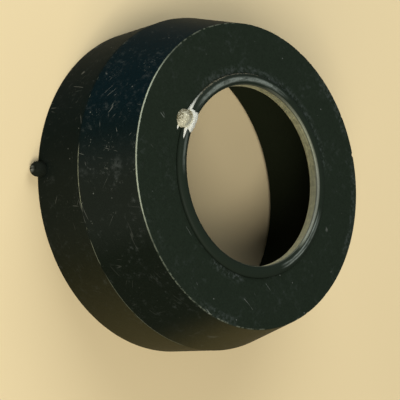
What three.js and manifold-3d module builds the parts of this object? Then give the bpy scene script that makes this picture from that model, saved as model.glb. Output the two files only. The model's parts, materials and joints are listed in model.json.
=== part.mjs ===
// A tapered collar with a sleeve bushing in its front plate. Millimetres, +Z up along the bore's axis.
// The collar stands on its rear rim at z = 0, and its flat front face looks up.
import * as THREE from "three";
import { mergeVertices } from "three/addons/utils/BufferGeometryUtils.js";
import Module from "manifold-3d";

// The collar's outside, from the rear rim to the front face.
const DEPTH = 25.5;
const FACE_RADIUS = 30;
const SHOULDER_HEIGHT = 12.7;
const SHOULDER_RADIUS = 33.5;
const RIM_RADIUS = 33;
const EDGE_BREAK = 0.2;

// The hollow inside it, and the plate that closes its front.
const HOLLOW_RADIUS = 28.95;
const PLATE_THICKNESS = 1.6;
const PLATE_CORNER_RADIUS = 27.6;
const PLATE_CORNER_DROP = 1;
const PLATE_CORNER_STEP = 1.2;
const MOUTH_RADIUS = 30.6;
const MOUTH_DEPTH = 1.6;

// The joint between the front shell and the rear ring: a spigot in a recess.
const SPIGOT_RADIUS = 31;
const SPIGOT_LENGTH = 5;
const SPIGOT_LEAD = 0.3;
const JOINT_GAP = 0.05;
const SKIRT_STEP = 0.13;

// The bushing in the plate: a short sleeve, and a flange shaped as a rounded bead in a shallow seat.
const BORE_RADIUS = 17.75;
const SLEEVE_RADIUS = 18.9;
const BEAD_RADIUS = 20.05;
const BEAD_SIDE = 0.15;
const BEAD_HEIGHT = 0.78;
const BEAD_STEPS = 8;
const BEAD_SEAT_DEPTH = 0.2;

// The solder tack that locks the bushing to the face: a dome, and a band over the bead.
const TACK_DOME = { angle: 199.9, reach: 20.45, size: [1.4, 1.9, 1.2], height: DEPTH };
const TACK_BAND = { angle: 198.5, reach: 18.6, size: [1.2, 2.3, 0.55], height: DEPTH + BEAD_HEIGHT };
const TACK_GAP = 0.05;

// The locking screw, close above the rear rim.
const SCREW_ANGLE = THREE.MathUtils.degToRad(225);
const SCREW_HEIGHT = 1.6;
const SCREW_HEAD_RADIUS = 1.5;
const SCREW_HEAD_SIDE = 1.1;
const SCREW_SEAT = RIM_RADIUS + 0.1;
const SCREW_RADIUS = 1;
const SCREW_LENGTH = 5.6;
const SCREW_TIP_LEAD = 0.3;
const SCREW_FIT = 0.05;
const SLOT = { width: 0.3, depth: 0.35 };

const ROUND_SEGMENTS = 96;
const SMALL_SEGMENTS = 24;
const DOME_STEPS = 6;
const MERGE_DISTANCE = 1e-4;

const enamel = { color: 0x1c211f, roughness: 0.35, metalness: 0 };
const bronze = { color: 0xb3a27a, roughness: 0.35, metalness: 1 };
const solder = { color: 0xc9c6b8, roughness: 0.3, metalness: 1 };

const wasm = await Module();
wasm.setup();

// The manifold-3d solid of a closed geometry.
function toSolid(geometry) {
  const bare = geometry.clone();
  bare.deleteAttribute("normal");
  bare.deleteAttribute("uv");
  const merged = mergeVertices(bare, MERGE_DISTANCE);
  const vertProperties = merged.attributes.position.array;
  const triVerts = new Uint32Array(merged.index.array);
  return new wasm.Manifold(new wasm.Mesh({ numProp: 3, vertProperties, triVerts }));
}

// The geometry of a manifold-3d solid.
function toGeometry(solid) {
  const { vertProperties, triVerts } = solid.getMesh();
  const geometry = new THREE.BufferGeometry();
  geometry.setAttribute("position", new THREE.BufferAttribute(vertProperties, 3));
  geometry.setIndex(new THREE.BufferAttribute(triVerts, 1));
  geometry.computeVertexNormals();
  return geometry;
}

// A profile of [radius, height] points turned about Z, anticlockwise in the radius-height plane.
function turned(profile, segments = ROUND_SEGMENTS) {
  const points = profile.map(([radius, height]) => new THREE.Vector2(radius, height));
  return new THREE.LatheGeometry(points, segments).rotateX(Math.PI / 2);
}

// A ring: a profile that closes on itself.
function turnedRing(profile) {
  return turned([...profile, profile[0]]);
}

function piece(name, geometry, finish) {
  const mesh = new THREE.Mesh(geometry, new THREE.MeshStandardMaterial(finish));
  mesh.name = name;
  return mesh;
}

// The radius of the cone between the shoulder and the front face.
function coneRadius(height) {
  const share = (height - SHOULDER_HEIGHT) / (DEPTH - SHOULDER_HEIGHT);
  return THREE.MathUtils.lerp(SHOULDER_RADIUS, FACE_RADIUS, share);
}

// The cone, the front plate with the bushing's stepped hole, and the recess for the ring's spigot.
function frontShell() {
  const plateBack = DEPTH - PLATE_THICKNESS;
  const recessTop = SHOULDER_HEIGHT + SPIGOT_LENGTH;
  const beadSeat = DEPTH - BEAD_SEAT_DEPTH;
  return turnedRing([
    [SPIGOT_RADIUS + JOINT_GAP, SHOULDER_HEIGHT],
    [SHOULDER_RADIUS - EDGE_BREAK, SHOULDER_HEIGHT],
    [coneRadius(SHOULDER_HEIGHT + EDGE_BREAK), SHOULDER_HEIGHT + EDGE_BREAK],
    [coneRadius(DEPTH - EDGE_BREAK), DEPTH - EDGE_BREAK],
    [FACE_RADIUS - EDGE_BREAK, DEPTH],
    [BEAD_RADIUS + JOINT_GAP, DEPTH],
    [BEAD_RADIUS + JOINT_GAP, beadSeat],
    [SLEEVE_RADIUS, beadSeat],
    [SLEEVE_RADIUS, plateBack],
    [PLATE_CORNER_RADIUS - PLATE_CORNER_STEP, plateBack],
    [PLATE_CORNER_RADIUS, plateBack - PLATE_CORNER_DROP],
    [HOLLOW_RADIUS, recessTop],
    [SPIGOT_RADIUS + JOINT_GAP, recessTop],
  ]);
}

// The hole for the locking screw, along the screw's own line.
function screwHole() {
  const radius = SCREW_RADIUS + SCREW_FIT;
  const wall = RIM_RADIUS - HOLLOW_RADIUS;
  const middle = HOLLOW_RADIUS + wall / 2;
  return new THREE.CylinderGeometry(radius, radius, 2 * wall, SMALL_SEGMENTS)
    .rotateZ(Math.PI / 2)
    .translate(middle, 0, SCREW_HEIGHT)
    .rotateZ(SCREW_ANGLE);
}

// The straight skirt, the chamfered mouth, the spigot and the screw hole.
function rearRing() {
  const seat = SHOULDER_HEIGHT - JOINT_GAP;
  const skirtTop = SHOULDER_RADIUS - SKIRT_STEP;
  const spigotTop = SHOULDER_HEIGHT + SPIGOT_LENGTH - JOINT_GAP;
  const ring = turnedRing([
    [MOUTH_RADIUS, 0],
    [RIM_RADIUS - EDGE_BREAK, 0],
    [RIM_RADIUS, EDGE_BREAK],
    [skirtTop, seat - EDGE_BREAK],
    [skirtTop - EDGE_BREAK, seat],
    [SPIGOT_RADIUS, seat],
    [SPIGOT_RADIUS, spigotTop - SPIGOT_LEAD],
    [SPIGOT_RADIUS - SPIGOT_LEAD, spigotTop],
    [HOLLOW_RADIUS, spigotTop],
    [HOLLOW_RADIUS, MOUTH_DEPTH],
  ]);
  return toGeometry(toSolid(ring).subtract(toSolid(screwHole())));
}

// The bead's rounded outline from its outer foot to the bore, with a layer of this thickness on it.
function beadOutline(layer) {
  const middle = (BEAD_RADIUS + BORE_RADIUS) / 2;
  const half = (BEAD_RADIUS - BORE_RADIUS) / 2 + layer;
  const rise = BEAD_HEIGHT - BEAD_SIDE + layer;
  const points = [];
  for (let step = 0; step <= BEAD_STEPS; step++) {
    const angle = (step / BEAD_STEPS) * Math.PI;
    points.push([middle + half * Math.cos(angle), DEPTH + BEAD_SIDE + rise * Math.sin(angle)]);
  }
  return points;
}

// The sleeve through the plate, with its bead in the seat on the plate's front.
function boreBushing() {
  const sleeveOutside = SLEEVE_RADIUS - JOINT_GAP;
  const plateBack = DEPTH - PLATE_THICKNESS;
  const beadUnderside = DEPTH - BEAD_SEAT_DEPTH + JOINT_GAP;
  return turnedRing([
    [BORE_RADIUS, plateBack],
    [sleeveOutside, plateBack],
    [sleeveOutside, beadUnderside],
    [BEAD_RADIUS, beadUnderside],
    ...beadOutline(0),
  ]);
}

function tackLump({ angle, reach, size, height }) {
  return new THREE.SphereGeometry(1, SMALL_SEGMENTS, SMALL_SEGMENTS / 2)
    .scale(...size)
    .translate(reach, 0, height)
    .rotateZ(THREE.MathUtils.degToRad(angle));
}

// Two lumps joined, less everything that they lie on.
function solderTack() {
  const under = turnedRing([
    [BORE_RADIUS - TACK_GAP, 0],
    [FACE_RADIUS, 0],
    [FACE_RADIUS, DEPTH + TACK_GAP],
    [BEAD_RADIUS + TACK_GAP, DEPTH + TACK_GAP],
    ...beadOutline(TACK_GAP),
  ]);
  const lumps = toSolid(tackLump(TACK_DOME)).add(toSolid(tackLump(TACK_BAND)));
  return toGeometry(lumps.subtract(toSolid(under)));
}

// The screw along its own +Z: its head's underside is at 0, and its tip is below that.
function lockingScrew() {
  const profile = [
    [0, -SCREW_LENGTH],
    [SCREW_RADIUS - SCREW_TIP_LEAD, -SCREW_LENGTH],
    [SCREW_RADIUS, SCREW_TIP_LEAD - SCREW_LENGTH],
    [SCREW_RADIUS, 0],
    [SCREW_HEAD_RADIUS, 0],
  ];
  for (let step = 0; step < DOME_STEPS; step++) {
    const angle = (step / DOME_STEPS) * (Math.PI / 2);
    const radius = SCREW_HEAD_RADIUS * Math.cos(angle);
    profile.push([radius, SCREW_HEAD_SIDE + SCREW_HEAD_RADIUS * Math.sin(angle)]);
  }
  const top = SCREW_HEAD_SIDE + SCREW_HEAD_RADIUS;
  profile.push([0, top]);
  const slot = new THREE.BoxGeometry(2 * top, SLOT.width, 2 * SLOT.depth).translate(0, 0, top);
  const blank = toSolid(turned(profile, SMALL_SEGMENTS));
  return toGeometry(blank.subtract(toSolid(slot)));
}

const collar = new THREE.Group();
collar.add(piece("front_shell", frontShell(), enamel));
collar.add(piece("rear_ring", rearRing(), enamel));
collar.add(piece("bore_bushing", boreBushing(), bronze));
collar.add(piece("solder_tack", solderTack(), solder));

// The screw points out of the skirt, square to the bore's axis.
const screwLine = new THREE.Group();
screwLine.rotation.z = SCREW_ANGLE;
const screw = piece("locking_screw", lockingScrew(), enamel);
screw.position.set(SCREW_SEAT, 0, SCREW_HEIGHT);
screw.rotation.y = Math.PI / 2;
screwLine.add(screw);
collar.add(screwLine);

export default collar;
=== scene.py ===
"""The looks of a tapered sleeve bushing collar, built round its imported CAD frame.

Lengths are in millimetres until mesh vertices are made, and heights are above the rear rim.
Angles of marks are in degrees round +Z, counted from the locking screw.
"""

import json
import math

import bmesh
import bpy
import numpy as np
from mathutils import Matrix, Vector, noise


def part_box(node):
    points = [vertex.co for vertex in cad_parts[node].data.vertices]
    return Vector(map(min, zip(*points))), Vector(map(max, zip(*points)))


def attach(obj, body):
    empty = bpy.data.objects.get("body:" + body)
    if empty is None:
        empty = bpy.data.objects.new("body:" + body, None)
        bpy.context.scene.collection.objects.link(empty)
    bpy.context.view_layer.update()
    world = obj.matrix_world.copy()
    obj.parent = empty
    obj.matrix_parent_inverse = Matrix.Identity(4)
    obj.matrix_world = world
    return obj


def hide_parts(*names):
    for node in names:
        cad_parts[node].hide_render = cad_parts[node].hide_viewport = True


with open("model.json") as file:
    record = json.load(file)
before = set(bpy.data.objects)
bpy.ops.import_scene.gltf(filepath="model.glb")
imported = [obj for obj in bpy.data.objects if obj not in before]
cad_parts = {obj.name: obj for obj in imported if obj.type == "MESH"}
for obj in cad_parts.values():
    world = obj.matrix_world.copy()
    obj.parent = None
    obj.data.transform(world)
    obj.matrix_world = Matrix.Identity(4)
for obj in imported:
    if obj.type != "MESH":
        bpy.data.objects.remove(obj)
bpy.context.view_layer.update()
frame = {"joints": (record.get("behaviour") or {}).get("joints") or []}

MM = 0.001

# Sizes that the frame gives.
shell_low, shell_high = (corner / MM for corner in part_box("front_shell"))
ring_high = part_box("rear_ring")[1] / MM
bushing_low, bushing_high = (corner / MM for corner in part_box("bore_bushing"))
screw_low, screw_high = (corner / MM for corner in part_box("locking_screw"))
screw_line = Vector(frame["joints"][0]["axis"]).normalized()
SHOULDER_HEIGHT = shell_low.z
DEPTH = shell_high.z
PLATE_BACK = bushing_low.z
BEAD_TOP = bushing_high.z
BEAD_RADIUS = bushing_high.x
SKIRT_RADIUS = ring_high.x
SPIGOT_TOP = ring_high.z
SCREW_HEIGHT = (screw_low.z + screw_high.z) / 2
SCREW_HEAD_RADIUS = (screw_high.z - screw_low.z) / 2
SCREW_ANGLE = math.atan2(screw_line.y, screw_line.x)

# The collar's other sizes.
FACE_RADIUS = 30
SHOULDER_RADIUS = 33.44
RIM_RADIUS = 33
HOLLOW_RADIUS = 28.95
PLATE_CORNER_RADIUS = 27
MOUTH_RADIUS = 30.6
MOUTH_DEPTH = 1.6
SPIGOT_RADIUS = 31
JOINT_GAP = 0.05
BORE_RADIUS = 17.75
SLEEVE_RADIUS = 18.9
SLEEVE_CHAMFER = 0.1
BEAD_SIDE = 0.15
BEAD_SEAT_DEPTH = 0.2
BEAD_MIDDLE = (BORE_RADIUS + BEAD_RADIUS) / 2

# How far each kind of corner is rounded.
CONE_ROUNDING = 0.16
SKIRT_ROUNDING = 0.18
RIM_ROUNDING = 0.2
MOUTH_ROUNDING = 0.15
LEAD_ROUNDING = 0.3
INNER_ROUNDING = 0.1
FINE_ROUNDING = 0.05
SEAT_ROUNDING = 0.03
PLATE_ROUNDING = 1.4

# The dents in the shell's edges: a noise's scale, the noise that starts one, its depth and its spread.
NICK_SCALE = 0.9
NICK_START = 0.35
NICK_DEPTH = 0.35
NICK_SPREAD = 0.12

# The locking screw, along its own line from the underside of its head.
SCREW_SEAT = 33.1
SCREW_RADIUS = 1
SCREW_LENGTH = 5.6
SCREW_HEAD_SIDE = 1.1
SCREW_HEAD_EDGE = 0.05
SCREW_HOLE_LENGTH = 8
TIP_LEAD = 0.4
TIP_SHARE = 0.7
NECK_START = 0.3
NECK_LENGTH = 0.25
NECK_SHARE = 0.8
THREAD_PITCH = 0.4
THREAD_DEPTH = 0.2
SLOT_WIDTH = 0.3
SLOT_DEPTH = 0.35

# The solder tack: a dome on the face, over a coat that follows the face, the bead and the bore's mouth.
TACK_ANGLE = -25.1
TACK_DOME = {"middle": 20.45, "across": 1.4, "along": 1.9, "rise": 1.15}
TACK_FILLET = 0.3
TACK_GRIT = 0.3
TACK_GRIT_SCALE = 1.9
TACK_GROOVE = {"middle": 0.8, "width": 0.15, "depth": 0.3}
COAT_OUTSIDE = 23.2
COAT_DOWN_BORE = 0.6
COAT_SPAN = (-8, 4.6)
COAT_SINK = 0.05
COAT_THINNEST = 0.03
BEAD_FOOT = 1.5

# Lumps of the coat: the middle and half-size of each, outward from the crest and round, and its rise.
COAT_LUMPS = [
    {"middle": (-0.55, -0.35), "half": (0.95, 2.2), "rise": 0.42},
    {"middle": (0.5, -0.4), "half": (1.3, 2.1), "rise": 0.28},
]

# Tails of the coat: the place of each outward from the crest, its start and end round, and its size.
COAT_TAILS = [
    {"reach": BEAD_FOOT - 0.2, "start": -1.2, "end": -7.8, "width": 0.42, "rise": 0.24},
    {"reach": BEAD_FOOT + 0.9, "start": 1.3, "end": 2.7, "width": 0.2, "rise": 0.25},
    {"reach": 0.6, "start": 1.0, "end": 3.9, "width": 0.34, "rise": 0.22},
]

# How fine the meshes are.
ROUND_SIDES = 360
SMALL_SIDES = 48
OUTLINE_STEP = 1.0
BEAD_STEP = 0.4
SOLDER_STEP = 0.07
SOLDER_ARC_STEPS = 60
THREAD_STEPS = 10
DOME_STEPS = 12
WELD_DISTANCE = 1e-6

# The enamel's colours, with painted reflections in the side's teal and olive and in the face's black.
# The face's black is lighter and greener than the side's: enamel with a painted sheen in it, which the
# bead's paint shares.
FACE_BLACK_AND_SHEEN = (0.013, 0.019, 0.013, 1)
SIDE_BLACK = (0.0058, 0.0086, 0.0062, 1)
# The teal is a painted reflection on the upper side, and the olive a painted reflection of the warm floor
# on the lower side.
SIDE_TEAL_REFLECTION = (0.0024, 0.0094, 0.0132, 1)
SIDE_OLIVE_REFLECTION = (0.0390, 0.0352, 0.0158, 1)
INSIDE_BLACK = (0.0100, 0.0130, 0.0070, 1)
SCREW_BLACK = (0.0100, 0.0125, 0.0095, 1)
BARE_EDGE = (0.36, 0.40, 0.31, 1)
SCUFF = (0.12, 0.14, 0.14, 1)
SCRATCH = (0.26, 0.28, 0.26, 1)

# The bushing's, the solder's and the floor's colours.
BRONZE_DARK = (0.34, 0.35, 0.20, 1)
BRONZE_PALE = (1.0, 1.0, 0.72, 1)
BRONZE_GREY = (0.62, 0.66, 0.54, 1)
LIP_DARK = (0.15, 0.16, 0.12, 1)
# The lip's paler grey is a painted highlight.
LIP_HIGHLIGHT = (0.20, 0.21, 0.17, 1)
# The bead's pale crest colour: bare metal, and a painted highlight.
BEAD_BARE_AND_HIGHLIGHT = (0.27, 0.31, 0.28, 1)
# A paler brown along the bead's foot: grit, and a painted highlight.
BEAD_FOOT_GRIT_AND_HIGHLIGHT = (0.22, 0.20, 0.14, 1)
SOLDER_WHITE = (0.80, 0.81, 0.73, 1)
SOLDER_CREAM = (0.70, 0.67, 0.47, 1)
# Dull solder, also the painted shade in the dome's groove.
SOLDER_DULL_AND_SHADE = (0.20, 0.22, 0.19, 1)
FLUX_BROWN = (0.12, 0.10, 0.04, 1)
FLOOR_PALE = (0.80, 0.66, 0.40, 1)
FLOOR_DARK = (0.74, 0.60, 0.35, 1)

# How rough each surface is, or how rough it is from one end of its grain to the other.
ENAMEL_ROUGHNESS = (0.34, 0.54)
RUBBED_ROUGHNESS = 0.62
WORN_ROUGHNESS = 0.42
BEAD_ROUGHNESS = 0.5
BRONZE_ROUGHNESS = (0.46, 0.71)
SOLDER_ROUGHNESS = 0.4
FLUX_ROUGHNESS = 0.65
FLOOR_ROUGHNESS = 0.85

# How metallic the mixed surfaces are.
WORN_METALLIC = 0.4
BEAD_CREST_METALLIC = 0.5
SOLDER_METALLIC = 0.35
FLUX_METALLIC = 0.05

# How strongly the painted surfaces shine, below the shader's usual 0.5.
ENAMEL_SPECULAR = 0.007
BUSHING_SPECULAR = 0.05

# Stretches of the way round with looks of their own: the middle, the half-width and the soft ends, in
# degrees, and the strength.
# Where the side's painted teal and olive reflections lie.
TEAL_REFLECTION_ON_CONE = (-42, 14, 40, 1.0)
TEAL_REFLECTION_ON_SKIRT = (-42, 14, 40, 0.5)
OLIVE_REFLECTION_ON_CONE = (105, 13, 30, 1.0)
OLIVE_REFLECTION_ON_SKIRT = (110, 18, 80, 1.0)
SCRATCHED_SIDE = (-22, 26, 22, 1.0)
SCUFFED_SIDE = (6, 46, 25, 1.0)
HAZY_SIDE = (12, 8, 16, 0.045)
CLEAN_EDGE = (-7, 12, 34, 1.0)
BROKEN_EDGE = (5, 78, 12, 0.2)
BRIGHT_SHOULDER = (5, 7, 5, 1.0)
SHORT_SHOULDER = (30, 3, 2, 0.3)
DIM_SHOULDER = (59, 17, 6, 0.2)
FACE_RUBS_AT_BORE = [(-110, 50, 20, 0.65), (71, 9, 6, 1.0)]
FACE_RUBS_AT_EDGE = [(-143, 10, 8, 0.6), (172, 15, 10, 0.6), (72, 6, 6, 0.6)]
# The bead's pale crest: the wide stretch and the streak are rubbed through and painted highlights, and the
# thin stretch is a painted highlight broken by turning marks.
BEAD_WIDE_WEAR_AND_HIGHLIGHT = (-76, 22, 24, 0.85)
BEAD_STREAK_WEAR_AND_HIGHLIGHT = (-8, 6, 10, 0.3)
BEAD_THIN_HIGHLIGHT = (139, 16, 12, 1.0)
# The stretch of the bead's foot with its painted highlight and grit.
BEAD_FOOT_LINE_STRETCH = (-66, 20, 14, 1.0)
NARROW_BARE_MOUTH = (-148, 36, 16, 1.0)
WIDE_BARE_MOUTH = (170, 28, 12, 1.0)
GREY_BORE = (150, 30, 20, 0.5)
# Where the lip's painted highlight lies.
LIP_HIGHLIGHT_STRETCH = (168, 20, 14, 1.0)

# Families of long scratches on the side: the slant in degrees, the noise's stretch, the width, and the
# patches that they gather in. The face has one family, along one way only.
SIDE_SCRATCHES = [
    {"slant": 12, "stretch": 0.11, "width": 0.016, "patches": (0.2, 0.62, 0.7, 0)},
    {"slant": -52, "stretch": 0.1, "width": 0.014, "patches": (0.24, 0.62, 0.7, 40)},
    {"slant": 78, "stretch": 0.1, "width": 0.016, "patches": (0.22, 0.6, 0.68, 90)},
]
SIDE_SCRATCH_SCALE = 0.5
FACE_SCRATCHES = {"scale": 0.45, "stretch": (0.12, 1, 1), "width": 0.012}

# Clouds of rubbing: the noise's scale, and the values between which it goes from nothing to full.
FLECK_CLOUDS = (2.3, 0.58, 0.68)
WIDE_CLOUDS = (0.75, 0.52, 0.74)
SMUDGE_CLOUDS = (0.62, 0.54, 0.68)
KNOCK_CLOUDS = (1.2, 0.4, 0.6)
RUB_CLOUDS = (1.4, 0.42, 0.68)
FAINT_CLOUDS = (0.8, 0.5, 0.8)
BEAD_CLOUDS = (1.1, 0.3, 0.62)
FOOT_LINE_CLOUDS = (2.2, 0.44, 0.62)

# Patches that marks gather in: a slow noise's scale, the values between which it goes from nothing to full,
# and a shift that keeps the families apart.
FLECK_PATCHES = (0.32, 0.5, 0.66, 80)
WIDE_PATCHES = (0.16, 0.46, 0.64, 20)
SMUDGE_PATCHES = (0.22, 0.5, 0.66, 55)
BROKEN_EDGE_PATCHES = (0.9, 0.46, 0.54, 0)
STRAY_EDGE_PATCHES = (0.7, 0.56, 0.62, 60)
FLAKED_SHOULDER_PATCHES = (1.1, 0.38, 0.5, 10)
STRAY_SHOULDER_PATCHES = (0.5, 0.6, 0.66, 30)
RIM_PATCHES = (0.5, 0.5, 0.6, 70)
FAINT_PATCHES = (0.12, 0.42, 0.62, 0)
FACE_SCRATCH_PATCHES = (0.2, 0.64, 0.7, 150)

# Chips: the scale that they are scattered at, their size in parts of a cell, and the share of cells that
# have one.
SIDE_CHIPS = (0.7, 0.12, 0.25)
LARGE_FACE_CHIPS = (0.6, 0.11, 0.16)
SMALL_FACE_CHIPS = (1.5, 0.13, 0.07)
SCREW_CHIPS = (1.4, 0.1, 0.2)

# How strong each kind of mark is.
CONE_CUTS_STRENGTH = 0.6
SKIRT_CUTS_STRENGTH = 0.4
FACE_CUTS_STRENGTH = 0.35
FLECKS_STRENGTH = 0.7
SKIRT_SCUFFS_STRENGTH = 0.6
FACE_RUBS_STRENGTH = 0.35
FACE_CLOUDS_STRENGTH = 0.16
STRAY_EDGE_STRENGTH = 0.16
STRAY_SHOULDER_STRENGTH = 0.25
RIM_STRENGTH = 0.6
SCREW_CHIPS_STRENGTH = 0.3
# The screw's pale apex is worn paint and a painted highlight.
SCREW_APEX_STRENGTH = 0.55

# The circles that bare lines follow, just inside the rounded edges: their radius and height.
FACE_EDGE = (FACE_RADIUS - 0.05, DEPTH - 0.05)
SHOULDER_EDGE = (SHOULDER_RADIUS - 0.02, SHOULDER_HEIGHT + 0.08)
RIM_EDGE = (RIM_RADIUS - 0.05, 0.05)

# How wide the bare line along each edge is.
FACE_LINE_WIDTH = 0.15
SHOULDER_LINE_WIDTH = 0.14
RIM_LINE_WIDTH = 0.14

# The one big smudge on the cone: its place, how far out it is solid and then gone, and its strength. Its
# way round is measured on a smaller circle than the cone's, which draws it out sideways.
KNOCK = {"angle": 3.0, "height": 21.4, "circle": 20.0, "solid": 0.4, "gone": 1.5, "strength": 0.2}

# The camera, from its aim on the front face's plane.
CAMERA_AIM = (-5.34, -14.45)
CAMERA_AZIMUTH = math.radians(238.14)
CAMERA_ELEVATION = math.radians(46.33)
CAMERA_ROLL = math.radians(80.72)
CAMERA_DISTANCE = 326.07
CAMERA_LENS = 155.74
CAMERA_SENSOR = 36
CAMERA_CLIP = (0.01, 10)

# Half of the floor's side, in metres.
FLOOR_HALF = 3.0


# ---------------------------------------------------------------- meshes


def add_piece(name, vertices, faces, body, slot, material, *nodes):
    """A smooth mesh piece, from vertices in millimetres, that stands for its CAD nodes."""
    mesh = bpy.data.meshes.new(name)
    mesh.from_pydata([tuple(v) for v in np.asarray(vertices) * MM], [], faces)
    shape = bmesh.new()
    shape.from_mesh(mesh)
    bmesh.ops.recalc_face_normals(shape, faces=shape.faces)
    shape.to_mesh(mesh)
    shape.free()
    mesh.shade_smooth()
    piece = bpy.data.objects.new(name, mesh)
    bpy.context.scene.collection.objects.link(piece)
    piece.data.materials.append(material)
    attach(piece, body)
    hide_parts(*nodes)
    return piece


def rounded(corners, steps=4):
    """An outline through (radius, height, rounding) corners, each rounded by a short curve."""
    outline = []
    count = len(corners)
    for i, (r, z, rounding) in enumerate(corners):
        here = np.array([r, z], float)
        if rounding == 0:
            outline.append(tuple(here))
            continue
        before = np.array(corners[i - 1][:2], float) - here
        after = np.array(corners[(i + 1) % count][:2], float) - here
        start = here + before / np.linalg.norm(before) * rounding
        end = here + after / np.linalg.norm(after) * rounding
        for t in np.linspace(0, 1, steps + 1):
            outline.append(tuple((1 - t) ** 2 * start + 2 * t * (1 - t) * here + t**2 * end))
    return outline


def divided(outline, longest):
    """The outline with points added, so that no stretch is longer than this."""
    points = []
    for here, there in zip(outline, outline[1:] + outline[:1]):
        a, b = np.array(here), np.array(there)
        parts = max(1, math.ceil(np.linalg.norm(b - a) / longest))
        points += [tuple(a + (b - a) * k / parts) for k in range(parts)]
    return points


def turned(outline, wear=None):
    """Vertices and faces of a closed outline turned about Z. wear moves (radius, height, angle)."""
    radius, height = np.array(outline).T
    angle = np.linspace(0, 2 * math.pi, ROUND_SIDES, endpoint=False)[:, None]
    radius = np.repeat(radius[None, :], ROUND_SIDES, axis=0)
    height = np.repeat(height[None, :], ROUND_SIDES, axis=0)
    if wear:
        radius, height = wear(radius, height, angle)
    grid = np.stack([radius * np.cos(angle), radius * np.sin(angle), height], axis=-1)
    around, along = grid.shape[:2]
    faces = []
    for i in range(around):
        for j in range(along):
            k, m = (i + 1) % around, (j + 1) % along
            faces.append((i * along + j, k * along + j, k * along + m, i * along + m))
    return grid.reshape(-1, 3), faces


def cut(piece, build):
    """Cuts a piece's mesh by the shape that a bmesh call makes."""
    shape = bmesh.new()
    build(shape)
    mesh = bpy.data.meshes.new("cutter")
    shape.to_mesh(mesh)
    shape.free()
    cutter = bpy.data.objects.new("cutter", mesh)
    bpy.context.scene.collection.objects.link(cutter)
    modifier = piece.modifiers.new("cut", "BOOLEAN")
    modifier.operation = "DIFFERENCE"
    modifier.solver = "EXACT"
    modifier.object = cutter
    graph = bpy.context.evaluated_depsgraph_get()
    done = bpy.data.meshes.new_from_object(piece.evaluated_get(graph))
    piece.modifiers.clear()
    piece.data = done
    bpy.data.objects.remove(cutter)


def weld(piece):
    """Joins vertices that lie on each other."""
    shape = bmesh.new()
    shape.from_mesh(piece.data)
    bmesh.ops.remove_doubles(shape, verts=shape.verts, dist=WELD_DISTANCE)
    bmesh.ops.recalc_face_normals(shape, faces=shape.faces)
    shape.to_mesh(piece.data)
    shape.free()


# ---------------------------------------------------------------- materials


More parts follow.
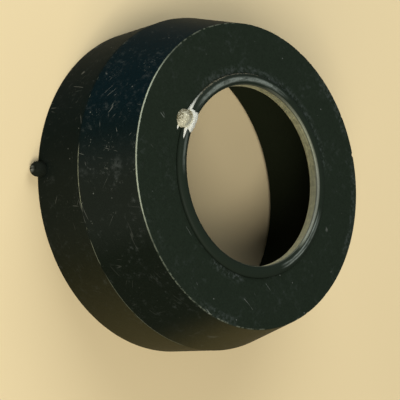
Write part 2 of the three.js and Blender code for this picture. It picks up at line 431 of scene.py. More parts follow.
class Shader:
    """A material with one Principled surface, and short calls that add and link nodes."""

    def __init__(self, name):
        self.material = bpy.data.materials.new(name)
        self.material.use_nodes = True
        self.nodes = self.material.node_tree.nodes
        self.links = self.material.node_tree.links
        self.surface = self.nodes["Principled BSDF"]

    def feed(self, socket, value):
        """Links an input to another node's output, or sets it to a value."""
        if isinstance(value, bpy.types.NodeSocket):
            self.links.new(value, socket)
        else:
            socket.default_value = value

    def finished(self, **inputs):
        """Feeds the surface's inputs, with _ for each space in their names, and gives the material."""
        for key, value in inputs.items():
            self.feed(self.surface.inputs[key.replace("_", " ")], value)
        return self.material

    def add(self, kind, inputs, **settings):
        """A new node of this kind, with its settings made and its inputs fed."""
        node = self.nodes.new("ShaderNode" + kind)
        for key, value in settings.items():
            setattr(node, key, value)
        for key, value in inputs.items():
            self.feed(node.inputs[key], value)
        return node

    def math(self, operation, *values):
        """The outcome of a Math node."""
        return self.add("Math", dict(enumerate(values)), operation=operation).outputs[0]

    def product(self, first, *others):
        """All of these multiplied."""
        for other in others:
            first = self.math("MULTIPLY", first, other)
        return first

    def total(self, first, *others):
        """All of these added up."""
        for other in others:
            first = self.math("ADD", first, other)
        return first

    def either(self, first, *others):
        """The greatest of these."""
        for other in others:
            first = self.math("MAXIMUM", first, other)
        return first

    def less(self, first, second):
        """The first less the second."""
        return self.math("SUBTRACT", first, second)

    def gap(self, first, second):
        """How far apart two numbers are."""
        return self.math("ABSOLUTE", self.less(first, second))

    def length(self, *parts):
        """The length of a vector with these parts."""
        return self.math("SQRT", self.total(*[self.math("POWER", part, 2.0) for part in parts]))

    def ramp(self, value, low, high):
        """0 below low and 1 above high, or the other way round if low is the greater."""
        inputs = {"Value": value, "From Min": low, "From Max": high}
        return self.add("MapRange", inputs, interpolation_type="SMOOTHSTEP").outputs["Result"]

    def within(self, value, low, high, soft):
        """1 between low and high, with soft edges."""
        return self.product(self.ramp(value, low - soft, low), self.ramp(value, high + soft, high))

    def span(self, value, low, high):
        """low where a value is 0, high where it is 1, and in a straight line between them."""
        return self.math("MULTIPLY_ADD", value, high - low, low)

    def mix(self, factor, first, second):
        """A number mixed from first to second."""
        inputs = {"Factor": factor, 2: first, 3: second}
        return self.add("Mix", inputs, data_type="FLOAT").outputs[0]

    def blend(self, factor, first, second, **settings):
        """A colour mixed from first to second."""
        inputs = {"Factor": factor, 6: first, 7: second}
        return self.add("Mix", inputs, data_type="RGBA", **settings).outputs[2]

    def scaled(self, vector, factors):
        """A vector with each part multiplied by its own factor."""
        inputs = {0: vector, 1: factors}
        return self.add("VectorMath", inputs, operation="MULTIPLY").outputs[0]

    def noise(self, vector, scale, detail=2.0, roughness=0.5):
        """A smooth noise from 0 to 1."""
        inputs = {"Vector": vector, "Scale": scale, "Detail": detail, "Roughness": roughness}
        return self.add("TexNoise", inputs).outputs["Fac"]

    def cells(self, vector, scale):
        """The distance to the nearest point of a scattered set, and that point's random colour."""
        node = self.add("TexVoronoi", {"Vector": vector, "Scale": scale})
        return node.outputs["Distance"], node.outputs["Color"]

    def bump(self, height, distance, strength):
        """The normal of a surface that rises by this distance where the height is 1."""
        inputs = {"Height": height, "Distance": distance * MM, "Strength": strength}
        return self.add("Bump", inputs).outputs["Normal"]

    def place(self):
        """Finds the point in millimetres, its radius, height and angle from the screw in degrees."""
        raw = self.add("TexCoord", {}).outputs["Object"]
        self.point = self.scaled(raw, (1 / MM,) * 3)
        turn = {"Vector": self.point, "Axis": (0, 0, 1), "Angle": -SCREW_ANGLE}
        turned_point = self.add("VectorRotate", turn).outputs[0]
        parts = self.add("SeparateXYZ", {0: turned_point}).outputs
        self.radius = self.length(parts[0], parts[1])
        self.height = parts[2]
        self.angle = self.math("DEGREES", self.math("ARCTAN2", parts[1], parts[0]))

    def sector(self, centre, half, soft, strength):
        """This strength within half degrees of an angle from the screw, and soft ends beyond that."""
        turn = self.math("WRAP", self.less(self.angle, centre), 180.0, -180.0)
        return self.product(self.ramp(self.math("ABSOLUTE", turn), half + soft, half), strength)

    def sectors(self, stretches):
        """The strength of whichever of these stretches is the strongest here."""
        return self.either(*[self.sector(*stretch) for stretch in stretches])

    def arc(self, radius, start=0.0):
        """The way round from a start in degrees, on a circle of this radius."""
        return self.product(self.math("RADIANS", self.less(self.angle, start)), radius)

    def ringed(self, across):
        """Radius and height scaled by across, with the way round left as it is."""
        parts = {
            0: self.product(self.radius, across),
            1: self.product(self.height, across),
            2: self.arc(BORE_RADIUS),
        }
        return self.add("CombineXYZ", parts).outputs[0]

    def unrolled(self, slant, stretch):
        """The side laid flat, turned by slant degrees and squeezed along its new Y."""
        flat = self.add("CombineXYZ", {0: self.arc(SHOULDER_RADIUS), 1: self.height}).outputs[0]
        turn = {"Vector": flat, "Axis": (0, 0, 1), "Angle": math.radians(slant)}
        return self.scaled(self.add("VectorRotate", turn).outputs[0], (1, stretch, 1))


def edge_wear(shader, edge, width, amount):
    """Bare metal within this width of a circular edge. amount says how bare it is."""
    radius, height = edge
    distance = shader.length(shader.less(shader.radius, radius), shader.less(shader.height, height))
    ragged = shader.span(shader.noise(shader.point, 2.2, 3.0, 0.6), 0.4, 1.6)
    past = shader.less(distance, shader.product(ragged, width))
    return shader.product(shader.ramp(past, 0.02, -0.06), amount)


def lines(shader, flat, scale, width):
    """Long thin scratches: the contour lines of a noise that is stretched along them."""
    off_line = shader.gap(shader.noise(flat, scale, detail=0.0), 0.5)
    return shader.ramp(off_line, width, width * 0.3)


def specks(shader, scale, size, share):
    """Small chips: dots round the scattered points whose random colour is low enough."""
    distance, colour = shader.cells(shader.point, scale)
    chosen = shader.ramp(colour, share + 0.02, share)
    return shader.product(shader.ramp(distance, size, size * 0.4), chosen)


def scuffs(shader, scale, low, high):
    """Cloudy rubbed patches, from a noise that counts between low and high."""
    return shader.ramp(shader.noise(shader.point, scale, 5.0, 0.7), low, high)


def patches(shader, scale, low, high, shift):
    """Where marks gather: a slow noise, which shift moves."""
    moved = shader.add("VectorMath", {0: shader.point, 1: (shift, 0, 0)}, operation="ADD").outputs[0]
    return shader.ramp(shader.noise(moved, scale, 2.0, 0.6), low, high)


def enamel(name, marks):
    """Black enamel over metal. marks(shader) gives its colour, and how worn, cut and rubbed it is."""
    shader = Shader(name)
    shader.place()
    colour, worn, cuts, rubbed = marks(shader)
    grain = shader.noise(shader.point, 2.8, 3.0, 0.7)
    colour = shader.blend(1.0, colour, shader.span(grain, 0.55, 1.45), blend_type="MULTIPLY")
    colour = shader.blend(rubbed, colour, SCUFF)
    colour = shader.blend(cuts, colour, SCRATCH)
    colour = shader.blend(worn, colour, BARE_EDGE)
    rough = shader.span(grain, *ENAMEL_ROUGHNESS)
    rough = shader.mix(shader.either(rubbed, cuts), rough, RUBBED_ROUGHNESS)
    relief = shader.less(shader.product(grain, 0.4), shader.total(cuts, worn))
    return shader.finished(
        Base_Color=colour,
        Roughness=shader.mix(worn, rough, WORN_ROUGHNESS),
        Metallic=shader.product(worn, WORN_METALLIC) if worn else 0.0,
        Normal=shader.bump(relief, distance=0.025, strength=0.6),
        Specular_IOR_Level=ENAMEL_SPECULAR,
    )


def side_colour_and_reflections(shader, teal_reflection, olive_reflection):
    """The side's black, with a painted teal reflection over one stretch and a painted olive reflection over
    another.
    """
    colour = shader.blend(shader.sector(*teal_reflection), SIDE_BLACK, SIDE_TEAL_REFLECTION)
    return shader.blend(shader.sector(*olive_reflection), colour, SIDE_OLIVE_REFLECTION)


def side_cuts(shader):
    """Scratches and chips on the side, most of them near the screw."""
    cuts = [specks(shader, *SIDE_CHIPS)]
    for family in SIDE_SCRATCHES:
        flat = shader.unrolled(family["slant"], family["stretch"])
        scratches = lines(shader, flat, SIDE_SCRATCH_SCALE, family["width"])
        cuts.append(shader.product(scratches, patches(shader, *family["patches"])))
    flecks = shader.product(scuffs(shader, *FLECK_CLOUDS), patches(shader, *FLECK_PATCHES))
    cuts.append(shader.product(flecks, FLECKS_STRENGTH))
    busy = shader.span(shader.sector(*SCRATCHED_SIDE), 0.12, 0.87)
    return shader.product(shader.either(*cuts), busy)


def side_scuffs(shader):
    """Rubbed clouds on the side, with a faint haze and one bigger smudge among them."""
    around = shader.arc(KNOCK["circle"], KNOCK["angle"])
    apart = shader.length(around, shader.less(shader.height, KNOCK["height"]))
    knock = shader.product(shader.ramp(apart, KNOCK["gone"], KNOCK["solid"]), KNOCK["strength"])
    knock = shader.product(knock, scuffs(shader, *KNOCK_CLOUDS))
    gathered = shader.product(scuffs(shader, *WIDE_CLOUDS), patches(shader, *WIDE_PATCHES))
    smudges = shader.product(scuffs(shader, *SMUDGE_CLOUDS), patches(shader, *SMUDGE_PATCHES))
    spread = shader.span(shader.sector(*SCUFFED_SIDE), 0.04, 0.2)
    clouds = shader.product(shader.either(gathered, smudges), spread)
    return shader.total(shader.sector(*HAZY_SIDE), knock, clouds)


def face_edge_wear(shader):
    """Bare metal along the front face's edge: a clean line on one side, and broken beyond it."""
    broken = shader.product(shader.sector(*BROKEN_EDGE), patches(shader, *BROKEN_EDGE_PATCHES))
    stray = shader.product(patches(shader, *STRAY_EDGE_PATCHES), STRAY_EDGE_STRENGTH)
    amount = shader.either(shader.sector(*CLEAN_EDGE), broken, stray)
    return edge_wear(shader, FACE_EDGE, FACE_LINE_WIDTH, amount)


def shoulder_wear(shader):
    """Bare metal along the shoulder: a bright stretch, a short one and a dim one."""
    flaked = shader.span(patches(shader, *FLAKED_SHOULDER_PATCHES), 0.4, 0.7)
    bright = shader.product(shader.sector(*BRIGHT_SHOULDER), flaked)
    stray = shader.product(patches(shader, *STRAY_SHOULDER_PATCHES), STRAY_SHOULDER_STRENGTH)
    amount = shader.either(bright, shader.sectors([SHORT_SHOULDER, DIM_SHOULDER]), stray)
    return edge_wear(shader, SHOULDER_EDGE, SHOULDER_LINE_WIDTH, amount)


def face_rubs(shader):
    """Rubbed places on the face: beside the bead, near the outer edge, and faint clouds anywhere."""
    at_bore = shader.within(shader.radius, BEAD_RADIUS - 1, BEAD_RADIUS + 0.8, 1.2)
    at_bore = shader.product(at_bore, shader.sectors(FACE_RUBS_AT_BORE))
    at_edge = shader.within(shader.radius, FACE_RADIUS - 1.2, FACE_RADIUS - 0.2, 0.8)
    at_edge = shader.product(at_edge, shader.sectors(FACE_RUBS_AT_EDGE))
    rubs = shader.product(shader.either(at_bore, at_edge), scuffs(shader, *RUB_CLOUDS))
    faint = shader.product(scuffs(shader, *FAINT_CLOUDS), patches(shader, *FAINT_PATCHES))
    rubs = shader.product(rubs, FACE_RUBS_STRENGTH)
    return shader.either(rubs, shader.product(faint, FACE_CLOUDS_STRENGTH))


def face_cuts(shader):
    """A few scratches and two sizes of chip on the face."""
    stretched = shader.scaled(shader.point, FACE_SCRATCHES["stretch"])
    scratches = lines(shader, stretched, FACE_SCRATCHES["scale"], FACE_SCRATCHES["width"])
    scratches = shader.product(scratches, patches(shader, *FACE_SCRATCH_PATCHES))
    large = specks(shader, *LARGE_FACE_CHIPS)
    small = specks(shader, *SMALL_FACE_CHIPS)
    return shader.product(shader.either(scratches, large, small), FACE_CUTS_STRENGTH)


def shell_marks(shader):
    """The cone's and the face's colour and wear."""
    on_face = shader.ramp(shader.height, DEPTH - 0.3, DEPTH - 0.08)
    inside = shader.product(
        shader.ramp(shader.height, DEPTH - 0.25, DEPTH - 0.4),
        shader.ramp(shader.radius, HOLLOW_RADIUS + 0.3, HOLLOW_RADIUS + 0.1),
    )
    outside = shader.less(1.0, inside)
    on_side = shader.product(outside, shader.less(1.0, on_face))
    colour = shader.blend(on_face, side_colour_and_reflections(shader, TEAL_REFLECTION_ON_CONE, OLIVE_REFLECTION_ON_CONE), FACE_BLACK_AND_SHEEN)
    colour = shader.blend(inside, colour, INSIDE_BLACK)
    worn = shader.product(shader.either(face_edge_wear(shader), shoulder_wear(shader)), outside)
    cuts = shader.either(
        shader.product(side_cuts(shader), on_side, CONE_CUTS_STRENGTH),
        shader.product(face_cuts(shader), on_face, outside),
    )
    rubbed = shader.either(
        shader.product(side_scuffs(shader), on_side),
        shader.product(face_rubs(shader), on_face),
    )
    return colour, worn, cuts, rubbed


def ring_marks(shader):
    """The skirt's colour and wear."""
    inside = shader.ramp(shader.radius, SPIGOT_RADIUS + 0.3, SPIGOT_RADIUS - 0.1)
    outside = shader.less(1.0, inside)
    colour = side_colour_and_reflections(shader, TEAL_REFLECTION_ON_SKIRT, OLIVE_REFLECTION_ON_SKIRT)
    colour = shader.blend(inside, colour, INSIDE_BLACK)
    rim = shader.product(patches(shader, *RIM_PATCHES), RIM_STRENGTH)
    worn = edge_wear(shader, RIM_EDGE, RIM_LINE_WIDTH, rim)
    cuts = shader.product(side_cuts(shader), outside, SKIRT_CUTS_STRENGTH)
    rubbed = shader.product(side_scuffs(shader), outside, SKIRT_SCUFFS_STRENGTH)
    return colour, worn, cuts, rubbed


def screw_marks(shader):
    """The screw's colour and wear: a few chips, and a pale apex, worn and also a painted highlight."""
    reach = shader.less(shader.radius, SCREW_SEAT + SCREW_HEAD_SIDE + SCREW_HEAD_RADIUS)
    side = shader.less(shader.arc(SCREW_SEAT), 0.1)
    apart = shader.length(reach, side, shader.less(shader.height, SCREW_HEIGHT))
    apex = shader.product(shader.ramp(apart, 0.85, 0.1), SCREW_APEX_STRENGTH)
    chips = shader.product(specks(shader, *SCREW_CHIPS), SCREW_CHIPS_STRENGTH)
    return SCREW_BLACK, 0.0, shader.either(chips, apex), 0.0


def bare_bronze(shader):
    """Where the bushing is bare: the bore, and two stretches of its mouth."""
    bore = shader.ramp(shader.radius, BORE_RADIUS + 0.2, BORE_RADIUS + 0.05)
    narrow = shader.ramp(shader.radius, BORE_RADIUS + 0.5, BORE_RADIUS + 0.3)
    wide = shader.ramp(shader.radius, BORE_RADIUS + 0.6, BORE_RADIUS + 0.35)
    return shader.either(
        bore,
        shader.product(narrow, shader.sector(*NARROW_BARE_MOUTH)),
        shader.product(wide, shader.sector(*WIDE_BARE_MOUTH)),
    )


def bronze_colour(shader, streaks):
    """The metal's colour: streaked, stained and scored, greyer on one side, darker on the lip, and paler on
    one stretch of the lip as a painted highlight.
    """
    patina = shader.ramp(shader.noise(shader.ringed(1.2), 0.8, 4.0, 0.7), 0.35, 0.65)
    scored = shader.ramp(shader.noise(shader.ringed(40.0), 0.1, 2.0, 0.6), 0.4, 0.62)
    tone = shader.total(
        shader.product(streaks, 0.4),
        shader.product(patina, 0.35),
        shader.product(scored, 0.25),
    )
    metal = shader.blend(tone, BRONZE_DARK, BRONZE_PALE)
    metal = shader.blend(shader.sector(*GREY_BORE), metal, BRONZE_GREY)
    lip = shader.blend(shader.sector(*LIP_HIGHLIGHT_STRETCH), LIP_DARK, LIP_HIGHLIGHT)
    return shader.blend(shader.ramp(shader.height, DEPTH + 0.05, DEPTH + 0.3), metal, lip)


def bead_wear_and_highlights(shader, streaks):
    """Where the bead's crest is pale: rubbed-through paint with painted highlights over a wide stretch and
    a streak, and a painted highlight along a thin one.
    """
    off_crest = shader.gap(shader.radius, BEAD_MIDDLE - 0.05)
    left = shader.span(scuffs(shader, *BEAD_CLOUDS), 0.45, 1.0)
    wide = shader.product(shader.ramp(off_crest, 0.6, 0.1), shader.sector(*BEAD_WIDE_WEAR_AND_HIGHLIGHT), left)
    streak = shader.product(shader.ramp(off_crest, 0.45, 0.1), shader.sector(*BEAD_STREAK_WEAR_AND_HIGHLIGHT))
    turning = shader.ramp(shader.noise(shader.ringed(70.0), 0.06, 1.0, 0.5), 0.42, 0.6)
    thin = shader.product(shader.ramp(off_crest, 0.6, 0.2), shader.sector(*BEAD_THIN_HIGHLIGHT))
    thin = shader.product(thin, shader.span(turning, 0.2, 0.9))
    return shader.product(shader.either(wide, streak, thin), shader.ramp(streaks, 0.2, 0.6))


def bushing_material():
    """Pale bronze in the bore, under black enamel on the bead, which is rubbed through on its crest and
    painted with highlights there.
    """
    shader = Shader("bushing_bronze")
    shader.place()
    grain = shader.noise(shader.point, 2.0, 4.0, 0.7)
    streaks = shader.noise(shader.ringed(5.0), 0.5, 3.0, 0.6)
    bare = bare_bronze(shader)
    # rubbed holds the crest's wear together with its painted highlights.
    rubbed = bead_wear_and_highlights(shader, streaks)
    # A paler brown line along the bead's foot over one stretch: grit, and a painted highlight.
    foot = shader.within(shader.radius, BEAD_RADIUS - 0.16, BEAD_RADIUS + 0.1, 0.1)
    foot_grit_and_highlight = shader.product(foot, shader.sector(*BEAD_FOOT_LINE_STRETCH), scuffs(shader, *FOOT_LINE_CLOUDS))
    colour = shader.blend(rubbed, FACE_BLACK_AND_SHEEN, BEAD_BARE_AND_HIGHLIGHT)
    colour = shader.blend(foot_grit_and_highlight, colour, BEAD_FOOT_GRIT_AND_HIGHLIGHT)
    colour = shader.blend(bare, colour, bronze_colour(shader, streaks))
    rough = shader.mix(bare, BEAD_ROUGHNESS, shader.span(grain, *BRONZE_ROUGHNESS))
    return shader.finished(
        Base_Color=colour,
        Metallic=shader.either(bare, shader.product(rubbed, BEAD_CREST_METALLIC)),
        Roughness=shader.mix(rubbed, rough, BEAD_ROUGHNESS),
        Normal=shader.bump(shader.total(grain, streaks), distance=0.03, strength=0.6),
        Specular_IOR_Level=BUSHING_SPECULAR,
    )


def solder_material():
    """Pale soft solder, with brown flux and pits on the dome, a painted shade in the dome's groove, and a
    paler middle and side that stand as painted highlights.
    """
    shader = Shader("solder")
    shader.place()
    across = shader.less(shader.radius, TACK_DOME["middle"])
    along = shader.arc(TACK_DOME["middle"], TACK_ANGLE)
    apart = shader.length(
        shader.product(across, 1 / TACK_DOME["across"]),
        shader.product(along, 1 / TACK_DOME["along"]),
    )
    on_dome = shader.ramp(apart, 1.25, 1.05)
    # Flux gathers towards the dome's edge; the middle and one side carry less, and stay pale as painted
    # highlights.
    clean_and_highlit_side = shader.ramp(shader.less(along, across), -0.6, 1.4)
    rim = shader.product(shader.ramp(apart, 0.15, 0.7), on_dome, shader.span(clean_and_highlit_side, 1.0, 0.3))
    groove = shader.product(shader.within(apart, 0.72, 0.88, 0.12), shader.ramp(across, 0.0, -0.9))
    mottle = shader.noise(shader.point, 3.0, 5.0, 0.8)
    grains = shader.span(shader.ramp(mottle, 0.4, 0.54), 0.15, 1.0)
    flux = shader.product(grains, shader.span(rim, 0.1, 1.0))
    away = shader.ramp(shader.math("ABSOLUTE", along), 2.0, 6.5)
    colour = shader.blend(shader.product(on_dome, 0.75), SOLDER_WHITE, SOLDER_CREAM)
    # The groove on the dome is darkened: a painted shade.
    colour = shader.blend(shader.product(groove, 0.75), colour, SOLDER_DULL_AND_SHADE)
    colour = shader.blend(away, colour, SOLDER_DULL_AND_SHADE)
    colour = shader.blend(flux, colour, FLUX_BROWN)
    return shader.finished(
        Base_Color=colour,
        Roughness=shader.mix(flux, SOLDER_ROUGHNESS, FLUX_ROUGHNESS),
        Metallic=shader.mix(flux, SOLDER_METALLIC, FLUX_METALLIC),
        Normal=shader.bump(mottle, distance=0.2, strength=0.9),
    )


def floor_material():
    """A pale warm floor with a slow change of tone."""
    shader = Shader("floor")
    coordinates = shader.add("TexCoord", {}).outputs["Object"]
    tone = shader.noise(coordinates, 6.0, 3.0, 0.5)
    return shader.finished(
        Base_Color=shader.blend(tone, FLOOR_DARK, FLOOR_PALE),
        Roughness=FLOOR_ROUGHNESS,
    )


# ---------------------------------------------------------------- the collar's pieces


def front_shell(material):
    """The cone, the front plate and the recess for the ring's spigot."""
    recess = SPIGOT_RADIUS + JOINT_GAP
    bead_seat = BEAD_RADIUS + JOINT_GAP
    outline = rounded([
        (recess, SHOULDER_HEIGHT, INNER_ROUNDING),
        (SHOULDER_RADIUS, SHOULDER_HEIGHT, CONE_ROUNDING),
        (FACE_RADIUS, DEPTH, CONE_ROUNDING),
        (bead_seat, DEPTH, SEAT_ROUNDING),
        (bead_seat, DEPTH - BEAD_SEAT_DEPTH, 0),
        (SLEEVE_RADIUS, DEPTH - BEAD_SEAT_DEPTH, FINE_ROUNDING),
        (SLEEVE_RADIUS, PLATE_BACK, FINE_ROUNDING),
        (PLATE_CORNER_RADIUS, PLATE_BACK, PLATE_ROUNDING),
        (HOLLOW_RADIUS, SPIGOT_TOP + JOINT_GAP, INNER_ROUNDING),
        (recess, SPIGOT_TOP + JOINT_GAP, INNER_ROUNDING),
    ])
    vertices, faces = turned(divided(outline, OUTLINE_STEP), edge_nicks)
    name = "front_shell_body"
    return add_piece(name, vertices, faces, "collar", "black_enamel", material, "front_shell")


def edge_nicks(radius, height, angle):
    """Small dents in the outer edges of the shell."""
    dent = np.zeros_like(radius)
    for i, a in enumerate(angle[:, 0]):
        spot = Vector((math.cos(a), math.sin(a), 0)) * FACE_RADIUS
        deep = max(0.0, noise.noise(spot * NICK_SCALE) - NICK_START) * NICK_DEPTH
        for edge_radius, edge_height in ((FACE_RADIUS, DEPTH), (SHOULDER_RADIUS, SHOULDER_HEIGHT)):
            apart = (radius[i] - edge_radius) ** 2 + (height[i] - edge_height) ** 2
            dent[i] += deep * np.exp(-apart / NICK_SPREAD)
    return radius - dent, height - dent * (height > SHOULDER_HEIGHT + 1)


def rear_ring(material):
    """The skirt, the chamfered mouth, the spigot and the screw's hole."""
    seat = SHOULDER_HEIGHT - JOINT_GAP
    outline = rounded([
        (MOUTH_RADIUS, 0, MOUTH_ROUNDING),
        (RIM_RADIUS, 0, RIM_ROUNDING),
        (SKIRT_RADIUS, seat, SKIRT_ROUNDING),
        (SPIGOT_RADIUS, seat, FINE_ROUNDING),
        (SPIGOT_RADIUS, SPIGOT_TOP, LEAD_ROUNDING),
        (HOLLOW_RADIUS, SPIGOT_TOP, INNER_ROUNDING),
        (HOLLOW_RADIUS, MOUTH_DEPTH, LEAD_ROUNDING),
    ])
    vertices, faces = turned(divided(outline, OUTLINE_STEP))
    piece = add_piece("rear_ring_body", vertices, faces, "collar", "skirt_enamel", material, "rear_ring")
    cut(piece, screw_hole)
    return piece


def screw_hole(shape):
    """A cylinder along the screw's line, through the skirt's wall."""
    turn = screw_line.to_track_quat("Z", "Y").to_matrix().to_4x4()
    middle = screw_line * (HOLLOW_RADIUS + RIM_RADIUS) / 2 + Vector((0, 0, SCREW_HEIGHT))
    radius = (SCREW_RADIUS + JOINT_GAP) * MM
    bmesh.ops.create_cone(
        shape,
        cap_ends=True,
        segments=SMALL_SIDES,
        radius1=radius,
        radius2=radius,
        depth=SCREW_HOLE_LENGTH * MM,
        matrix=Matrix.Translation(middle * MM) @ turn,
    )


def bead_arc(steps=24):
    """The bead's rounded outline, from its outer foot over its crest to the bore."""
    half = (BEAD_RADIUS - BORE_RADIUS) / 2
    base = DEPTH + BEAD_SIDE
    angles = np.linspace(0, math.pi, steps + 1)
    return [(BEAD_MIDDLE + half * math.cos(a), base + (BEAD_TOP - base) * math.sin(a)) for a in angles]


def bore_bushing(material):
    """The sleeve in the plate, and its bead."""
    sleeve = SLEEVE_RADIUS - JOINT_GAP
    underside = DEPTH - BEAD_SEAT_DEPTH + JOINT_GAP
    outline = [
        (BORE_RADIUS + SLEEVE_CHAMFER, PLATE_BACK),
        (sleeve, PLATE_BACK),
        (sleeve, underside),
        (BEAD_RADIUS, underside),
        *bead_arc(),
        (BORE_RADIUS, PLATE_BACK + SLEEVE_CHAMFER),
    ]
    vertices, faces = turned(divided(outline, BEAD_STEP))
    name = "bore_bushing_sleeve"
    return add_piece(name, vertices, faces, "collar", "bushing_bronze", material, "bore_bushing")


def swell(across, along, rise):
    """The height of a rounded lump over a point, which is given in parts of the lump's half-sizes."""
    inside = 1 - across**2 - along**2
    return rise * math.sqrt(inside) if inside > 0 else 0.0


def lump_height(lump, reach, along):
    """The height of one of the coat's lumps over a point."""
    (middle_reach, middle_along), (half_reach, half_along) = lump["middle"], lump["half"]
    return swell((reach - middle_reach) / half_reach, (along - middle_along) / half_along, lump["rise"])


def tail_height(tail, reach, along):
    """The height over a point of one of the coat's tails, which narrow from start to end."""
    share = (along - tail["start"]) / (tail["end"] - tail["start"])
    if not 0 <= share < 1:
        return 0.0
    left = 1 - share
    width = tail["width"] * left + 0.08
    return swell((reach - tail["reach"]) / width, 0.0, tail["rise"] * left + 0.02)


def coat(reach, along):
    """The solder's thickness on the bead. reach is the way along the outline outward from the crest."""
    lumps = [lump_height(lump, reach, along) for lump in COAT_LUMPS]
    tails = [tail_height(tail, reach, along) for tail in COAT_TAILS]
    return max(lumps + tails)


def smooth_max(a, b, reach):
    """The greater of two heights, with a fillet where they meet."""
    share = max(reach - abs(a - b), 0) / reach
    return max(a, b) + share**2 * reach / 4


def solder_point(spot, normal, reach, along):
    """Radius and height of the solder's skin over a spot on the outline, and how thick it is there."""
    grit = TACK_GRIT * noise.fractal(Vector((reach, along, 3.0)) * TACK_GRIT_SCALE, 0.6, 2.0, 4)
    thickness = coat(reach, along)
    thickness += min(thickness, 0.5) * grit
    skin = spot + normal * thickness
    across = (skin[0] - TACK_DOME["middle"]) / TACK_DOME["across"]
    dome = swell(across, along / TACK_DOME["along"], TACK_DOME["rise"])
    if dome > 0:
        apart = math.hypot(across, along / TACK_DOME["along"])
        off_groove = (apart - TACK_GROOVE["middle"]) / TACK_GROOVE["width"]
        groove = TACK_GROOVE["depth"] * math.exp(-(off_groove**2)) * max(0.0, -across)
        dome += DEPTH + grit * min(dome, 0.5) - groove
        skin[1] = smooth_max(skin[1], dome, TACK_FILLET)
    return skin, max(thickness, skin[1] - spot[1]) - COAT_THINNEST


def solder_outline():
    """The outline that the solder lies on, its normals, and each point's way outward from the crest."""
    face = [(r, DEPTH) for r in np.arange(COAT_OUTSIDE, BEAD_RADIUS, -SOLDER_STEP)]
    bore_top = DEPTH + BEAD_SIDE - SOLDER_STEP
    bore = [(BORE_RADIUS, z) for z in np.arange(bore_top, DEPTH - COAT_DOWN_BORE, -SOLDER_STEP)]
    outline = np.array(face + bead_arc(SOLDER_ARC_STEPS) + bore)
    way = np.concatenate([[0], np.cumsum(np.linalg.norm(np.diff(outline, axis=0), axis=1))])
    reach = way[np.argmax(outline[:, 1])] - way
    slope = np.gradient(outline, axis=0)
    normal = np.stack([slope[:, 1], -slope[:, 0]], axis=1)
    normal /= np.linalg.norm(normal, axis=1)[:, None]
    return outline, normal, reach


def closed_sheet(shown, columns, under):
    """Faces over the shown cells of a grid, under them, and round their edges."""
    faces = []
    for i, j in zip(*np.nonzero(shown)):
        k = int(i * columns + j)
        quad = (k, k + columns, k + columns + 1, k + 1)
        faces.append(quad)
        faces.append(tuple(q + under for q in reversed(quad)))
        sides = {(i, j - 1): (0, 1), (i + 1, j): (1, 2), (i, j + 1): (2, 3), (i - 1, j): (3, 0)}
        for (m, n), (a, b) in sides.items():
            on_grid = 0 <= m < shown.shape[0] and 0 <= n < shown.shape[1]
            if not (on_grid and shown[m, n]):
                faces.append((quad[a], quad[a] + under, quad[b] + under, quad[b]))
    return faces


def solder_tack(material):
    """A lump of solder laid over the face, the bead and the bore's mouth, thick where it was dropped."""
    outline, normal, reach = solder_outline()
    spans = np.arange(*COAT_SPAN, SOLDER_STEP)
    rows, columns = len(spans), len(outline)
    skin, base, thick = [], [], []
    for along in spans:
        for spot, n, s in zip(outline, normal, reach):
            top, thickness = solder_point(spot, n, s, along)
            angle = SCREW_ANGLE + math.radians(TACK_ANGLE) + along / spot[0]
            bottom = spot - COAT_SINK * n
            skin.append((top[0] * math.cos(angle), top[0] * math.sin(angle), top[1]))
            base.append((bottom[0] * math.cos(angle), bottom[0] * math.sin(angle), bottom[1]))
            thick.append(thickness)
    thick = np.array(thick).reshape(rows, columns) > 0
    shown = thick[:-1, :-1] | thick[1:, :-1] | thick[:-1, 1:] | thick[1:, 1:]
    faces = closed_sheet(shown, columns, rows * columns)
    used = sorted({v for face in faces for v in face})
    number = {v: n for n, v in enumerate(used)}
    vertices = np.array(skin + base)[used]
    faces = [tuple(number[v] for v in face) for face in faces]
    return add_piece("solder_tack_lump", vertices, faces, "collar", "solder", material, "solder_tack")


def screw_rings(angles):
    """The screw's rings from its tip to its apex: the height of each, and its radius at each angle."""
    round_ring = np.ones_like(angles)
    tip = -SCREW_LENGTH
    rings = [(tip, 0 * round_ring)]
    for s in np.arange(tip, -NECK_START, THREAD_PITCH / THREAD_STEPS):
        phase = (s / THREAD_PITCH - angles / (2 * math.pi)) % 1
        groove = THREAD_DEPTH * np.abs(2 * phase - 1)
        lead = min(1.0, (s - tip) / TIP_LEAD) * (1 - TIP_SHARE) + TIP_SHARE
        rings.append((s, (SCREW_RADIUS - groove) * lead))
    rings.append((-NECK_LENGTH, round_ring * SCREW_RADIUS * NECK_SHARE))
    rings.append((0.0, round_ring * SCREW_RADIUS * NECK_SHARE))
    rings.append((0.0, round_ring * (SCREW_HEAD_RADIUS - SCREW_HEAD_EDGE)))
    rings.append((SCREW_HEAD_EDGE, round_ring * SCREW_HEAD_RADIUS))
    for angle in np.linspace(0, math.pi / 2, DOME_STEPS + 1):
        height = SCREW_HEAD_SIDE + SCREW_HEAD_RADIUS * math.sin(angle)
        rings.append((height, round_ring * SCREW_HEAD_RADIUS * math.cos(angle)))
    return rings


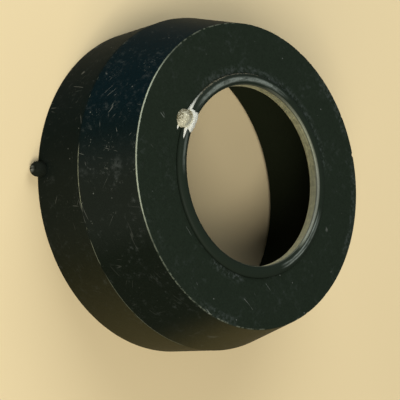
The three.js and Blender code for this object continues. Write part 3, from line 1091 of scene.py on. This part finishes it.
def locking_screw(material):
    """A domed, slotted head on a threaded shank."""
    sides = SMALL_SIDES
    angles = np.linspace(0, 2 * math.pi, sides, endpoint=False)
    rings = screw_rings(angles)
    cosines, sines = np.cos(angles), np.sin(angles)
    grid = [np.stack([r * cosines, r * sines, np.full(sides, s)], axis=1) for s, r in rings]
    faces = []
    for i in range(len(rings) - 1):
        for j in range(sides):
            k = (j + 1) % sides
            faces.append((i * sides + j, i * sides + k, (i + 1) * sides + k, (i + 1) * sides + j))
    turn = np.array(screw_line.to_track_quat("Z", "Y").to_matrix())
    origin = np.array(screw_line * SCREW_SEAT + Vector((0, 0, SCREW_HEIGHT)))
    vertices = np.concatenate(grid) @ turn.T + origin
    name = "locking_screw_body"
    piece = add_piece(name, vertices, faces, "screw", "screw_enamel", material, "locking_screw")
    weld(piece)
    cut(piece, screw_slot)
    return piece


def screw_slot(shape):
    """A bar across the screw's apex, along the bore's axis."""
    apex = SCREW_SEAT + SCREW_HEAD_SIDE + SCREW_HEAD_RADIUS
    size = [side * MM for side in (2 * SLOT_DEPTH, SLOT_WIDTH, 4 * SCREW_HEAD_RADIUS)]
    place = Matrix.Rotation(SCREW_ANGLE, 4, "Z") @ Matrix.Translation((apex * MM, 0, SCREW_HEIGHT * MM))
    bmesh.ops.create_cube(shape, size=1.0, matrix=place @ Matrix.Diagonal((*size, 1)))


# ---------------------------------------------------------------- the studio


def add_camera():
    """The camera. Gives the directions to its right, up, and back from what it looks at."""
    data = bpy.data.cameras.new("camera")
    data.lens = CAMERA_LENS
    data.sensor_width = CAMERA_SENSOR
    data.clip_start, data.clip_end = CAMERA_CLIP
    camera = bpy.data.objects.new("camera", data)
    bpy.context.scene.collection.objects.link(camera)
    level = math.cos(CAMERA_ELEVATION)
    back = Vector((
        level * math.cos(CAMERA_AZIMUTH),
        level * math.sin(CAMERA_AZIMUTH),
        math.sin(CAMERA_ELEVATION),
    ))
    flat_right = Vector((0, 0, 1)).cross(back).normalized()
    flat_up = back.cross(flat_right)
    right = math.cos(CAMERA_ROLL) * flat_right + math.sin(CAMERA_ROLL) * flat_up
    up = back.cross(right)
    aim = Vector((*CAMERA_AIM, DEPTH))
    turn = Matrix((right, up, back)).transposed().to_4x4()
    camera.matrix_world = Matrix.Translation((aim + back * CAMERA_DISTANCE) * MM) @ turn
    bpy.context.scene.camera = camera
    return right, up, back


def add_light(name, direction, distance, size, power, colour):
    """A square area light that faces the collar from this direction, at this distance in metres."""
    data = bpy.data.lights.new(name, "AREA")
    data.size = size
    data.energy = power
    data.color = colour
    lamp = bpy.data.objects.new(name, data)
    bpy.context.scene.collection.objects.link(lamp)
    direction = direction.normalized()
    lamp.location = direction * distance
    lamp.rotation_euler = direction.to_track_quat("Z", "Y").to_euler()


def add_lights(right, up, back):
    """A key light behind the camera, a window above the picture, and a warm bounce from below it."""
    add_light(
        "key",
        back - 0.36 * up + Vector((0, 0, 0.22)),
        distance=1.3,
        size=0.5,
        power=11.5,
        colour=(1.0, 0.97, 0.9),
    )
    add_light(
        "window",
        0.25 * back + 1.0 * up + 0.25 * right + Vector((0, 0, 0.25)),
        distance=0.45,
        size=0.38,
        power=1.3,
        colour=(0.97, 1.0, 1.0),
    )
    add_light(
        "bounce",
        0.9 * back - 0.75 * up,
        distance=0.8,
        size=0.3,
        power=2.0,
        colour=(1.0, 0.92, 0.72),
    )


def add_floor(material):
    """A wide square floor under the rear rim."""
    corners = [(x * FLOOR_HALF, y * FLOOR_HALF, 0) for x, y in ((-1, -1), (1, -1), (1, 1), (-1, 1))]
    mesh = bpy.data.meshes.new("floor")
    mesh.from_pydata(corners, [], [(0, 1, 2, 3)])
    floor = bpy.data.objects.new("floor", mesh)
    mesh.materials.append(material)
    bpy.context.scene.collection.objects.link(floor)


def add_world(colour, strength):
    """An even light from all round."""
    world = bpy.data.worlds.new("studio")
    bpy.context.scene.world = world
    world.use_nodes = True
    world.node_tree.nodes["Background"].inputs["Color"].default_value = colour
    world.node_tree.nodes["Background"].inputs["Strength"].default_value = strength


bpy.context.scene.view_settings.view_transform = "Standard"
right, up, back = add_camera()
front_shell(enamel("shell_enamel", shell_marks))
rear_ring(enamel("ring_enamel", ring_marks))
bore_bushing(bushing_material())
solder_tack(solder_material())
locking_screw(enamel("screw_enamel", screw_marks))
add_floor(floor_material())
add_world(colour=(0.9, 0.95, 1.0, 1), strength=0.14)
add_lights(right, up, back)
